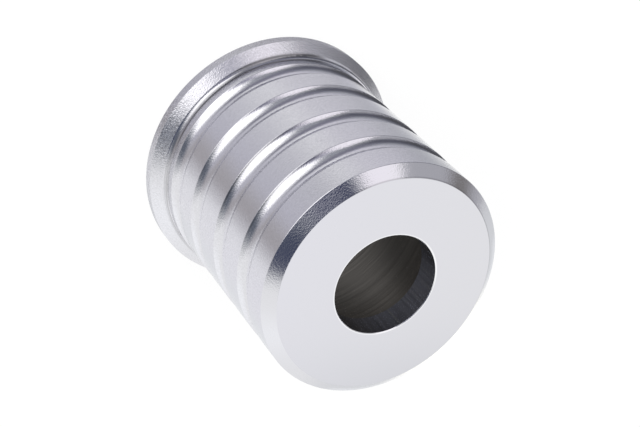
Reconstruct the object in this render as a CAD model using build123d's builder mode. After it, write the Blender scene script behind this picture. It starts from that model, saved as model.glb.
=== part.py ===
from build123d import *
from math import cos, radians, sin
import os

# Pushbutton housing: a sleeve turned from one aluminium bar. It stands on its flange, Z is the
# turning axis, and Z = 0 is the flange's back face. All sizes are in millimetres.

# Hole for a panel-mount button of the 19 mm class, and the plate that it sits in.
button_hole_diameter = 19.3
front_plate_thickness = 5.0
hole_edge_break = 0.1

# Cavity behind the plate, open through the flange.
cavity_diameter = 35.0
cavity_corner_radius = 1.0
cavity_mouth_chamfer = 0.5

# Side wall.
body_diameter = 45.0
front_chamfer_width = 2.1
front_chamfer_height = 1.7
land_heights = (5.15, 6.1, 5.9, 5.55)  # smooth bands, from the flange to the front
groove_width = 4.5
groove_depth = 1.02
land_edge_radius = 0.12

# Flange, and the neck and cove that join it to the side wall.
flange_diameter = 50.0
rim_height = 2.05
bevel_height = 1.8
cove_radius = 1.4
cove_sweep = 60.0  # degrees that the cove turns before the bevel starts
neck_height = 1.6
rim_edge_break = 0.1  # at the flange's back only

body_radius = body_diameter / 2
flange_radius = flange_diameter / 2
hole_radius = button_hole_diameter / 2
cavity_radius = cavity_diameter / 2

# Heights above the flange's back face.
cove_start_height = rim_height + bevel_height
neck_start_height = cove_start_height + cove_radius * sin(radians(cove_sweep))
first_groove_height = neck_start_height + neck_height
grooved_height = sum(land_heights) + len(land_heights) * groove_width
chamfer_start_height = first_groove_height + grooved_height
overall_height = chamfer_start_height + front_chamfer_height
plate_back_height = overall_height - front_plate_thickness

cove_start_radius = body_radius + cove_radius * (1 - cos(radians(cove_sweep)))
cove_mid_radius = body_radius + cove_radius * (1 - cos(radians(cove_sweep / 2)))
cove_mid_height = neck_start_height - cove_radius * sin(radians(cove_sweep / 2))

tiny = 0.001  # how near two sizes are to count as the same


def round_edges(part, radius):
    """The part's full-circle edges of this radius, from the lowest to the highest."""
    circles = part.edges().filter_by(GeomType.CIRCLE)
    return circles.filter_by(lambda edge: abs(edge.radius - radius) < tiny).sort_by(Axis.Z)


with BuildPart() as housing:
    # Half section, with X as the radius and Y as the height, turned about Z.
    with BuildSketch(Plane.XZ):
        with BuildLine():
            # Flange rim, bevel, and the hollow cove up to the neck.
            Line((cavity_radius, 0), (flange_radius, 0))
            Line((flange_radius, 0), (flange_radius, rim_height))
            Line((flange_radius, rim_height), (cove_start_radius, cove_start_height))
            ThreePointArc(
                (cove_start_radius, cove_start_height),
                (cove_mid_radius, cove_mid_height),
                (body_radius, neck_start_height),
            )
            Line((body_radius, neck_start_height), (body_radius, first_groove_height))
            # Four shallow arc grooves, each with a smooth land above it.
            height = first_groove_height
            for land_height in land_heights:
                groove_end = height + groove_width
                ThreePointArc(
                    (body_radius, height),
                    (body_radius - groove_depth, height + groove_width / 2),
                    (body_radius, groove_end),
                )
                Line((body_radius, groove_end), (body_radius, groove_end + land_height))
                height = groove_end + land_height
            # Front chamfer, front face, hole and cavity.
            Polyline(
                (body_radius, chamfer_start_height),
                (body_radius - front_chamfer_width, overall_height),
                (hole_radius, overall_height),
                (hole_radius, plate_back_height),
                (cavity_radius, plate_back_height),
                (cavity_radius, 0),
            )
        make_face()
    revolve(axis=Axis.Z)

    # Edges of the lands and the front chamfer, softened by blasting. The neck's lower edge runs
    # into the cove without a corner.
    fillet(
        round_edges(housing, body_radius).filter_by(
            lambda edge: edge.center().Z > neck_start_height + tiny
        ),
        radius=land_edge_radius,
    )
    # Tool corner under the plate, and the cavity's mouth.
    cavity_edges = round_edges(housing, cavity_radius)
    fillet(cavity_edges[-1], radius=cavity_corner_radius)
    chamfer(cavity_edges[0], length=cavity_mouth_chamfer)
    # Broken edges of the hole and of the flange's back.
    chamfer(round_edges(housing, hole_radius)[-1], length=hole_edge_break)
    chamfer(round_edges(housing, flange_radius)[0], length=rim_edge_break)

housing.part.label = "housing"

os.makedirs("parts", exist_ok=True)
export_step(housing.part, "parts/housing.step")
print("overall height", round(overall_height, 2))
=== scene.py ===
from math import cos, radians, sin, tan

import bpy
import numpy as np
from mathutils import Matrix, Vector


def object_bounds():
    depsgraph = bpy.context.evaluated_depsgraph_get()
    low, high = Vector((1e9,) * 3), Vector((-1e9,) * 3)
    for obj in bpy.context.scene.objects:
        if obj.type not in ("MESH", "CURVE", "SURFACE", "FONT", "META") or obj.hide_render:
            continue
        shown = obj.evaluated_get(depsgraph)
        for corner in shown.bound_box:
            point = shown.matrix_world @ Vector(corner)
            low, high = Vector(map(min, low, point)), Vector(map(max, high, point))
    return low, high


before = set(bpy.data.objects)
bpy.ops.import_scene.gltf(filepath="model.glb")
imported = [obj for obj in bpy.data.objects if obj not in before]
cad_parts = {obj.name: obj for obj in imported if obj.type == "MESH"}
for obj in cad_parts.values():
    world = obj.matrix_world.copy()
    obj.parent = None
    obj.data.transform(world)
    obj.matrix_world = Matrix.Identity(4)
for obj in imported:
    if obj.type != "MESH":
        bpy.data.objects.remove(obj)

scene = bpy.context.scene
cad_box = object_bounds()  # the solid's lowest and highest corner, in metres

# The camera. It looks down at the front face from above the sleeve's side, and is rolled over,
# so that the sleeve seems to point to the lower right.
lens_data = bpy.data.cameras.new("camera")
lens_data.lens = 90
lens_data.sensor_width = 36
camera = bpy.data.objects.new("camera", lens_data)
scene.collection.objects.link(camera)
camera_place = Vector((0, -0.186849, 0.247047))
camera_aim = Vector((0.000005, -0.000099, 0.023385))
camera_roll = radians(137.403)
camera.matrix_world = (
    Matrix.Translation(camera_place)
    @ (camera_aim - camera_place).to_track_quat("-Z", "Y").to_matrix().to_4x4()
    @ Matrix.Rotation(camera_roll, 4, "Z")
)
scene.camera = camera
scene.view_settings.view_transform = "Standard"


# The room: white all round for the camera and in the metal's reflections, and slightly weaker
# as the fill light that reaches the floor.
def add_node(tree, kind, inputs=None, **settings):
    """A new node of this kind. An input is a socket's value, or an output to link to it."""
    made = tree.nodes.new(kind)
    for name, value in settings.items():
        setattr(made, name, value)
    for name, value in (inputs or {}).items():
        if isinstance(value, bpy.types.NodeSocket):
            tree.links.new(value, made.inputs[name])
        else:
            made.inputs[name].default_value = value
    return made


def blank(holder):
    """The holder's node tree, with no nodes in it."""
    holder.use_nodes = True
    holder.node_tree.nodes.clear()
    return holder.node_tree


def combined(tree, operation, first, second=0.0):
    """A Math node's result for one value or two."""
    return add_node(tree, "ShaderNodeMath", {0: first, 1: second}, operation=operation).outputs[0]


room = bpy.data.worlds.new("white room")
scene.world = room
tree = blank(room)
path = add_node(tree, "ShaderNodeLightPath").outputs
seen = path["Is Camera Ray"]
for ray in ("Is Glossy Ray", "Is Transmission Ray"):
    seen = combined(tree, "MAXIMUM", seen, path[ray])
fill = add_node(tree, "ShaderNodeBackground", {"Color": (1, 1, 1, 1), "Strength": 0.95})
white = add_node(tree, "ShaderNodeBackground", {"Color": (1, 1, 1, 1), "Strength": 1.0})
room_mix = add_node(
    tree, "ShaderNodeMixShader", {0: seen, 1: fill.outputs[0], 2: white.outputs[0]}
)
add_node(tree, "ShaderNodeOutputWorld", {"Surface": room_mix.outputs[0]})


# The floor: a round sheet of matt white paper that the flange stands on. The camera sees it
# nearly as white as the room, apart from the soft shadow. The metal mirrors the room and the
# cards through it.
def flat_disc(name, radius, height, sides=128):
    """A flat disc. Corner k is at (radius cos a, radius sin a), with a = k / sides of a turn."""
    turn = np.linspace(0, 2 * np.pi, sides, endpoint=False)
    corners = np.stack([radius * np.cos(turn), radius * np.sin(turn), np.full(sides, height)], -1)
    mesh = bpy.data.meshes.new(name)
    mesh.from_pydata(corners, [], [tuple(range(sides))])
    disc = bpy.data.objects.new(name, mesh)
    scene.collection.objects.link(disc)
    return disc


paper = bpy.data.materials.new("matt white paper")
tree = blank(paper)
white_share = 0.85  # how much of what the camera sees of the paper is plain white
path = add_node(tree, "ShaderNodeLightPath").outputs
share = combined(tree, "MULTIPLY", path["Is Camera Ray"], white_share)
matt = add_node(tree, "ShaderNodeBsdfDiffuse", {"Color": (0.9, 0.9, 0.9, 1)})
white = add_node(tree, "ShaderNodeEmission", {"Color": (1, 1, 1, 1), "Strength": 1.0})
paper_mix = add_node(
    tree, "ShaderNodeMixShader", {0: share, 1: matt.outputs[0], 2: white.outputs[0]}
)
add_node(tree, "ShaderNodeOutputMaterial", {"Surface": paper_mix.outputs[0]})

floor = flat_disc("floor", radius=0.6, height=-0.0001)
floor.data.materials.append(paper)
floor.visible_glossy = False


# The paper under the cavity. Light reaches it only through the button hole, so it is dim, and
# brightest in a long spot a little beside the middle. That light is painted: it glows that much by itself.
floor_inside = flat_disc("floor under the cavity", radius=0.0185, height=-0.00003)
spot_stretch = (1.3, 0.65, 1)
spot_offset = (0.0039, 0.0007, 0)
spot_radius, wall_radius = 0.001, 0.0165
spot_glow, wall_glow = 0.118, 0.034
spot_paper = bpy.data.materials.new("paper with a spot of light")
tree = blank(spot_paper)
place = add_node(tree, "ShaderNodeTexCoord").outputs["Object"]
in_spot = add_node(
    tree, "ShaderNodeMapping", {"Vector": place, "Location": spot_offset, "Scale": spot_stretch}
).outputs[0]
from_spot = add_node(tree, "ShaderNodeVectorMath", {0: in_spot}, operation="LENGTH")
glow = add_node(
    tree,
    "ShaderNodeMapRange",
    {
        "Value": from_spot.outputs["Value"],
        "From Min": spot_radius,
        "From Max": wall_radius,
        "To Min": spot_glow,
        "To Max": wall_glow,
    },
    interpolation_type="SMOOTHSTEP",
).outputs[0]
lit = add_node(tree, "ShaderNodeEmission", {"Color": (1, 1, 1, 1), "Strength": glow})
add_node(tree, "ShaderNodeOutputMaterial", {"Surface": lit.outputs[0]})
spot_paper.cycles.emission_sampling = "NONE"
floor_inside.data.materials.append(spot_paper)


# The flange's own shade on the paper: a tinted clear sheet that only the metal's reflections
# see. It ends just outside the rim, and is darker on the left.
shade_ring = flat_disc("shade round the flange", radius=0.03, height=-0.00005)
shade_ring.visible_camera = shade_ring.visible_diffuse = shade_ring.visible_shadow = False
shade_ring.visible_transmission = False
left_end, right_start = -0.014, -0.003
shade_on_left, shade_on_right = 0.71, 0.88
shade_inner_radius, shade_outer_radius = 0.0261, 0.0269
shaded = bpy.data.materials.new("shade on the floor")
tree = blank(shaded)
place = add_node(tree, "ShaderNodeTexCoord").outputs["Object"]
from_axis = add_node(tree, "ShaderNodeVectorMath", {0: place}, operation="LENGTH")
across = add_node(tree, "ShaderNodeSeparateXYZ", {0: place}).outputs[0]
darkest = add_node(
    tree,
    "ShaderNodeMapRange",
    {
        "Value": across,
        "From Min": left_end,
        "From Max": right_start,
        "To Min": shade_on_left,
        "To Max": shade_on_right,
    },
).outputs[0]
let_through = add_node(
    tree,
    "ShaderNodeMapRange",
    {
        "Value": from_axis.outputs["Value"],
        "From Min": shade_inner_radius,
        "From Max": shade_outer_radius,
        "To Min": darkest,
        "To Max": 1.0,
    },
    interpolation_type="SMOOTHSTEP",
).outputs[0]
clear = add_node(tree, "ShaderNodeBsdfTransparent", {"Color": let_through})
add_node(tree, "ShaderNodeOutputMaterial", {"Surface": clear.outputs[0]})
shade_ring.data.materials.append(shaded)


# The soft light, and the soft boxes and grey cards that the metal mirrors. Each faces the
# housing from its own direction: azimuth from the camera's side towards +X, and elevation
# above the floor.
housing_middle = Vector((0, 0, 0.02625))


def facing_housing(azimuth, elevation, distance, turn=0):
    """A place at this distance from the housing's middle, and its axes.

    With a for the azimuth and e for the elevation, Z is (sin a cos e, -cos a cos e, sin e) and
    points away from the housing. X is (cos a, sin a, 0), Y points upwards, and both are then
    turned about Z.
    """
    a, e = radians(azimuth), radians(elevation)
    away = Vector((sin(a) * cos(e), -cos(a) * cos(e), sin(e)))
    along = Vector((cos(a), sin(a), 0))
    axes = Matrix((along, away.cross(along), away)).transposed().to_4x4()
    return (
        Matrix.Translation(housing_middle + away * distance)
        @ axes
        @ Matrix.Rotation(radians(turn), 4, "Z")
    )


key_distance = 1.1
key_half_angle = radians(30)  # as the housing sees half of its width
key_light = bpy.data.lights.new("key light", "AREA")
key_light.shape = "SQUARE"
key_light.size = 2 * key_distance * tan(key_half_angle)
key_light.energy = 16.0
key = bpy.data.objects.new("key light", key_light)
scene.collection.objects.link(key)
key.matrix_world = facing_housing(azimuth=5, elevation=25, distance=key_distance)
key.visible_camera = key.visible_glossy = False


def smooth_step(tree, value, start, end):
    """Smoothly from 0 where the value is start to 1 where it is end.

    With t for the share of the way from start to end, it is 3 t squared less 2 t cubed.
    """
    return add_node(
        tree,
        "ShaderNodeMapRange",
        {"Value": value, "From Min": start, "From Max": end},
        interpolation_type="SMOOTHSTEP",
    ).outputs[0]


widest_reach = radians(84)  # from a card's middle, short of the 90 degrees of a tangent
card_columns, card_rows = 33, 25


def card(name, azimuth, elevation, width, height, turn, fades, tone, distance, outline="straight"):
    """A curved card that only the metal's reflections see, all of it at one distance.

    A point of it is at the angles u to the side and v upwards from its middle, so it lies along
    (tan u, tan v, 1). Width and height are angles too, in degrees, and the edges fade over plus
    and minus the angles in fades. A round card's edge is the ellipse of that width and height.
    """
    half_u, half_v = radians(width / 2), radians(height / 2)
    fade_u, fade_v = (radians(f) for f in fades)
    reach_u = min(half_u + fade_u, widest_reach)
    reach_v = min(half_v + fade_v, widest_reach)
    u, v = np.meshgrid(
        np.linspace(-reach_u, reach_u, card_columns), np.linspace(-reach_v, reach_v, card_rows)
    )
    points = np.stack([np.tan(u), np.tan(v), np.ones_like(u)], -1)
    points *= distance / np.linalg.norm(points, axis=-1, keepdims=True)
    corner = np.arange(u.size).reshape(u.shape)
    faces = np.stack([corner[:-1, :-1], corner[:-1, 1:], corner[1:, 1:], corner[1:, :-1]], -1)
    mesh = bpy.data.meshes.new(name)
    mesh.from_pydata(points.reshape(-1, 3), [], faces.reshape(-1, 4))
    sheet = bpy.data.objects.new(name, mesh)
    scene.collection.objects.link(sheet)
    sheet.matrix_world = facing_housing(azimuth, elevation, 0, turn)
    sheet.visible_camera = sheet.visible_diffuse = sheet.visible_shadow = False
    sheet.visible_transmission = False

    # The card glows with its own tone by itself; no lamp lights it.
    card_glow = bpy.data.materials.new(name)
    tree = blank(card_glow)
    place = add_node(tree, "ShaderNodeTexCoord").outputs["Object"]
    x, y, z = add_node(tree, "ShaderNodeSeparateXYZ", {0: place}).outputs
    side_angle, up_angle = combined(tree, "ARCTAN2", x, z), combined(tree, "ARCTAN2", y, z)
    if outline == "round":
        across = combined(tree, "DIVIDE", side_angle, half_u)
        upward = combined(tree, "DIVIDE", up_angle, half_v)
        shares = add_node(tree, "ShaderNodeCombineXYZ", {0: across, 1: upward})
        rim_share = add_node(
            tree, "ShaderNodeVectorMath", {0: shares.outputs[0]}, operation="LENGTH"
        )
        edge = fade_u / ((half_u + half_v) / 2)
        cover = smooth_step(tree, rim_share.outputs["Value"], 1 + edge, 1 - edge)
    else:
        cover = 1.0
        for angle, half, fade in ((side_angle, half_u, fade_u), (up_angle, half_v, fade_v)):
            for side in (-1, 1):
                inside = smooth_step(tree, angle, side * (half + fade), side * (half - fade))
                cover = combined(tree, "MULTIPLY", cover, inside)
    clear = add_node(tree, "ShaderNodeBsdfTransparent")
    shade = add_node(tree, "ShaderNodeEmission", {"Color": (*tone, 1), "Strength": 1.0})
    glow_or_clear = add_node(
        tree, "ShaderNodeMixShader", {0: cover, 1: clear.outputs[0], 2: shade.outputs[0]}
    )
    add_node(tree, "ShaderNodeOutputMaterial", {"Surface": glow_or_clear.outputs[0]})
    card_glow.cycles.emission_sampling = "NONE"
    mesh.materials.append(card_glow)
    return sheet


card("card under the front", 21.5, -55.9, 158, 50.8, 71.4, (8.7, 25.1), (0.579, 0.572, 0.637), 1)
card("pale card behind", 179.9, 3.1, 86.3, 60, -45.4, (12.1, 3.2), (0.789, 0.8, 0.814), 0.99)
card("blue-white card behind", 183.5, 67.9, 70, 25.9, 19.8, (20, 13), (1.045, 1.04, 1.101), 0.986)
card("grey card behind on the left", -152.4, -40.4, 63, 13.7, -20.7, (15, 5.6), (0.6, 0.608, 0.627), 0.983)
card(
    "grey card behind on the right", 146.2, -48.1, 48, 20.6, 21.5, (13.9, 10.3), (0.867, 0.88, 0.901), 0.982
)
card("pale card on the right", 119.5, -42.1, 62.4, 14.2, 23.6, (12, 7.1), (0.923, 0.917, 0.959), 0.98)
card("grey card on the left", -69.2, -24.4, 107.5, 45.2, 23.8, (14.8, 12.6), (0.376, 0.385, 0.424), 0.97)
card("lilac card", -60.6, -39.8, 54.6, 20.4, 19.8, (27.3, 10.2), (0.702, 0.682, 0.757), 0.96)
card("grey card up on the left", -107.4, 20.8, 83.2, 43.7, -4.4, (3.8, 3.1), (0.476, 0.474, 0.509), 0.94)
card("wide white card behind", 188.7, -31.3, 78.9, 9.5, 8.9, (9.7, 2.5), (1.253, 1.242, 1.19), 0.92)
card("bright card on the right", 103, 8, 35.6, 38.5, 20.5, (12.5, 12.8), (1.12, 1.129, 1.141), 0.91)
card("white card behind", 181.4, -34.2, 8.2, 15.2, -0.1, (4.1, 5.4), (1.38, 1.36, 1.269), 0.91)
card("second soft box", -54.4, 29.3, 39.9, 34.4, -42, (1.5, 2.9), (1.104, 1.062, 1.119), 0.9)
card(
    "main soft box", 4.4, 15.4, 57.1, 60.7, -44.4, (11.3, 7.4), (1.805, 1.777, 1.799), 0.88, outline="round"
)
card("dark band's end", -39.9, -26.9, 78.5, 23.5, -23.1, (17.8, 11.8), (0.219, 0.216, 0.274), 0.85)
card("dark band", -92.3, -6.6, 73.1, 25.4, 13.3, (20.2, 9.6), (0.119, 0.121, 0.153), 0.82)
card("dark band's far end", -115.4, -5.6, 43.2, 14.9, 15.2, (8.9, 1.5), (0.091, 0.092, 0.102), 0.81)
card("pale card low on the left", -134, -27.5, 22, 13, 0, (7, 5), (0.97, 0.95, 0.99), 0.8)
card("grey strip low on the right", 47.4, -32, 18.9, 63.1, -2.6, (9.5, 4.4), (0.443, 0.425, 0.444), 0.79)
card("grey strip", -19.1, 34.5, 16.7, 49.4, -36.2, (8.3, 24.7), (0.162, 0.162, 0.254), 0.76)
card("dark strip", 40, 42.7, 33, 96.9, 10.1, (14.7, 15.4), (0.137, 0.152, 0.188), 0.73)
card("dark card over the camera", 15.4, 66, 70.5, 29, -4.8, (6.7, 6.4), (0.04, 0.048, 0.105), 0.7)
card("dark card on the left", -122.9, 18.8, 16.1, 15.9, -50.1, (1.5, 8), (0.207, 0.196, 0.191), 0.79)


# The housing: one sleeve turned from aluminium bar, with its flange and its front plate. Its
# outside is bead blasted and clear anodised, most coarsely on the flange. The hole's wall and
# the cavity keep their tool marks.
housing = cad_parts["housing"]
metal = bpy.data.materials.new("blasted and anodised aluminium")
tree = blank(metal)
place = add_node(tree, "ShaderNodeTexCoord").outputs["Object"]

# The part's own sizes in millimetres: heights above the flange's back, and radii.
bevel_top = 3.85
neck_start = 5.06
groove_starts = (16.31, 26.91, 37.31)  # of the second groove to the fourth
chamfer_start = 47.36
face_height = 1000 * cad_box[1].z
edge_break = 0.1
between_walls = 18.25  # outside the cavity's mouth and inside the side wall
hole_reach = 9.9  # just outside the hole's broken edge
chamfer_end = 20.4  # the radius where the front chamfer meets the face


def step(value, start, end):
    """The smooth step from start to end, on the metal's own tree."""
    return smooth_step(tree, value, start, end)


def product(first, *others):
    """All the values multiplied together."""
    for value in others:
        first = combined(tree, "MULTIPLY", first, value)
    return first


def blend(share, first, second):
    """The first value where the share is 0, and the second where it is 1."""
    mix = add_node(tree, "ShaderNodeMix", {0: share, 2: first, 3: second}, data_type="FLOAT")
    return mix.outputs[0]


def tone_blend(share, first, second):
    """The first colour where the share is 0, and the second where it is 1."""
    mix = add_node(tree, "ShaderNodeMix", {0: share, 6: first, 7: second}, data_type="RGBA")
    return mix.outputs[2]


def grain(name, grains, detail, stretch=(1, 1, 1)):
    """Noise from 0 to 1 with this many grains in a millimetre, stretched along the axes.

    Where the stretch is 0.03, a grain is 1 / 0.03 times as long along that axis.
    """
    spread = add_node(tree, "ShaderNodeMapping", {"Vector": place, "Scale": stretch})
    noise = add_node(
        tree,
        "ShaderNodeTexNoise",
        {"Vector": spread.outputs[0], "Scale": 1000 * grains, "Detail": detail},
        label=name,
    )
    return noise.outputs[0]


# Where a point is, in millimetres.
place_mm = add_node(tree, "ShaderNodeVectorMath", {0: place, "Scale": 1000}, operation="SCALE")
x, y, z = add_node(tree, "ShaderNodeSeparateXYZ", {0: place_mm.outputs[0]}).outputs
flat_place = add_node(tree, "ShaderNodeCombineXYZ", {0: x, 1: y}).outputs[0]
to_axis = add_node(tree, "ShaderNodeVectorMath", {0: flat_place}, operation="LENGTH")
radius = to_axis.outputs["Value"]

# Where each finish is: the flange, the inside, and of that the hole's wall.
on_flange = step(z, bevel_top + 0.1, bevel_top - 0.1)
off_face = step(z, face_height - 0.02, face_height - 0.04)
under_edge = face_height - edge_break
below_face = step(z, under_edge + 0.01, under_edge - 0.01)
in_cavity = product(below_face, step(radius, between_walls + 0.05, between_walls - 0.05))
in_hole = product(below_face, step(radius, hole_reach + 0.1, hole_reach - 0.1))

# The surface's height in micrometres: blasted grain outside, rings in the cavity, and streaks
# along the hole.
micrometre = 0.000001
bead_height, flange_bead_height, tool_mark_height = 14.5, 29.0, 40.0
fine = product(off_face, bead_height, grain("bead marks", 4.0, 1))
coarse = product(on_flange, flange_bead_height, grain("coarse bead marks", 4.2, 1))
blasted = combined(tree, "ADD", fine, coarse)
rings = grain("turning rings", 3.0, 3, (0.015, 0.015, 1))
streaks = grain("streaks along the hole", 2.5, 3, (1, 1, 0.03))
tool_marks = blend(in_hole, rings, streaks)
skin_height = blend(in_cavity, blasted, product(tool_marks, tool_mark_height))
skin_bump = add_node(
    tree, "ShaderNodeBump", {"Strength": 1.0, "Distance": micrometre, "Height": skin_height}
)

# The flange's coarser blasting is duller, and the turned inside is between the two.
side_roughness, flange_roughness, inside_roughness = 0.11, 0.25, 0.2
outside_roughness = blend(on_flange, side_roughness, flange_roughness)
roughness = blend(in_cavity, outside_roughness, inside_roughness)

# The tones: cool outside, a painted highlight as a pale ring on the edge round the hole, warm in
# the cavity, and blue on the hole's wall, where it is darker on the right as painted shade.
outside = (0.735, 0.735, 0.765, 1)
edge_highlight_tone = (0.93, 0.93, 0.94, 1)
cavity = (0.71, 0.67, 0.635, 1)
hole_on_left = (0.68, 0.73, 0.92, 1)
hole_in_painted_shade = (0.36, 0.37, 0.44, 1)
# Painted highlight: the pale ring on the edge round the hole.
painted_edge_highlight = step(radius, hole_reach + 0.08, hole_reach - 0.04)
# Painted shade: the hole's wall goes darker towards the right.
inside_tone = tone_blend(
    in_hole, cavity, tone_blend(step(x, 3, 9.2), hole_on_left, hole_in_painted_shade)
)
metal_tone = tone_blend(in_cavity, tone_blend(painted_edge_highlight, outside, edge_highlight_tone), inside_tone)


def band(height, width, depth):
    """Share of the tone that a band of painted shade round the sleeve leaves.

    It is 1 less depth times exp(-((z - height) / width) squared), so a depth under 0 is lighter, as painted
    light.
    """
    off = combined(tree, "DIVIDE", combined(tree, "SUBTRACT", z, height), width)
    bell = combined(tree, "EXPONENT", product(off, off, -1.0))
    return combined(tree, "SUBTRACT", 1.0, product(bell, depth))


# Painted shade and painted light: narrow bands where the metal is darker or lighter than its shape
# alone makes it. Each fades out at the ends of a stretch of X, and the lighter chamfer is kept to the
# far side, towards +Y.
on_side = step(radius, 20.5, 20.8)
groove_middles = product(step(x, -10, -5), step(x, 13.5, 9.5), on_side)
groove_lefts = product(step(x, -11.8, -7.5), step(x, 2.5, -1.5), on_side)
left_part = product(step(x, -6.8, -9.8), step(x, -19.0, -17.4))
far_left = product(step(x, -19.6, -21.4), step(z, bevel_top - 0.02, bevel_top + 0.03))
not_far_left = step(x, -21.0, -18.8)
far_corners = product(step(combined(tree, "ABSOLUTE", x), 5, 9), step(y, 9, 12))
face_edge = product(step(radius, chamfer_end - 0.1, chamfer_end), step(x, -4, -8))

bevel_edge_depth = product(step(x, -3, -9), not_far_left, 0.76)
cove_depth = combined(tree, "SUBTRACT", 0.52, product(step(x, 6.5, 9), 0.2))
neck_depth = combined(tree, "SUBTRACT", 0.74, product(step(x, 8, 12), 0.38))
neck_depth = product(neck_depth, step(x, 20.5, 17))
neck_depth = combined(tree, "SUBTRACT", neck_depth, product(step(x, 18.5, 21.0), 0.25))
second_groove, third_groove, fourth_groove = groove_starts

painted_shade_and_light = (
    # Painted shade along the edge between the bevel and the cove.
    band(bevel_top + 0.12, 0.21, bevel_edge_depth),
    band(bevel_top + 0.25, 0.10, product(step(x, 13, 15), 0.22)),
    # Painted shade in the cove's hollow and the corner where it meets the neck, and painted light on them
    # towards the left and at the far right.
    band(bevel_top + 0.40, 0.20, product(left_part, 0.38)),
    band(bevel_top + 0.57, 0.20, product(step(x, -9.8, -6.8), cove_depth)),
    band(bevel_top + 0.70, 0.16, product(left_part, -0.32)),
    band(bevel_top + 0.75, 1.20, product(far_left, -0.28)),
    band(neck_start - 0.18, 0.27, product(neck_depth, not_far_left)),
    # Painted shade along the grooves' edges towards the flange, and painted light in their hollows.
    band(second_groove + 0.14, 0.12, product(groove_middles, 0.2)),
    band(third_groove + 0.15, 0.12, product(groove_middles, 0.55)),
    band(fourth_groove + 0.15, 0.12, product(groove_middles, 0.4)),
    band(third_groove + 2.89, 0.6, product(groove_lefts, -0.22)),
    band(fourth_groove + 2.89, 0.6, product(groove_lefts, -0.22)),
    # Painted light on the front chamfer, and painted shade along its edge with the face.
    band(chamfer_start + 0.44, 0.4, product(far_corners, -0.2)),
    band(under_edge + 0.02, 0.09, product(face_edge, 0.3)),
)
tone_left = product(*painted_shade_and_light)

# Pits from the blasting are a little darker than the metal between them: a grain, with painted shade
# in the pits, most of all on the flange's right. The ridges of the tool marks are darker too. The chamfer
# and the face have none.
side_pit_depth, tool_mark_depth = 0.26, 1.2
flange_pit_depth = product(
    combined(tree, "ADD", 0.16, step(x, 3, 7)), step(x, -19, -12), step(x, 16.5, 13.5), on_flange
)
below_chamfer = step(z, chamfer_start + 0.04, chamfer_start - 0.36)
pit_depth = combined(tree, "ADD", flange_pit_depth, product(below_chamfer, side_pit_depth))
mark_depth = blend(in_cavity, pit_depth, tool_mark_depth)
marks = blend(in_cavity, grain("pits", 3.4, 1), tool_marks)
lighter_by = product(combined(tree, "SUBTRACT", 0.5, marks), mark_depth)
tone_left = product(tone_left, combined(tree, "ADD", 1.0, lighter_by))
skin_tone = add_node(
    tree, "ShaderNodeVectorMath", {0: metal_tone, "Scale": tone_left}, operation="SCALE"
)

skin = add_node(
    tree,
    "ShaderNodeBsdfPrincipled",
    {
        "Base Color": skin_tone.outputs[0],
        "Metallic": 1.0,
        "Roughness": roughness,
        "Normal": skin_bump.outputs[0],
    },
)
add_node(tree, "ShaderNodeOutputMaterial", {"Surface": skin.outputs[0]})
housing.material_slots[0].material = metal
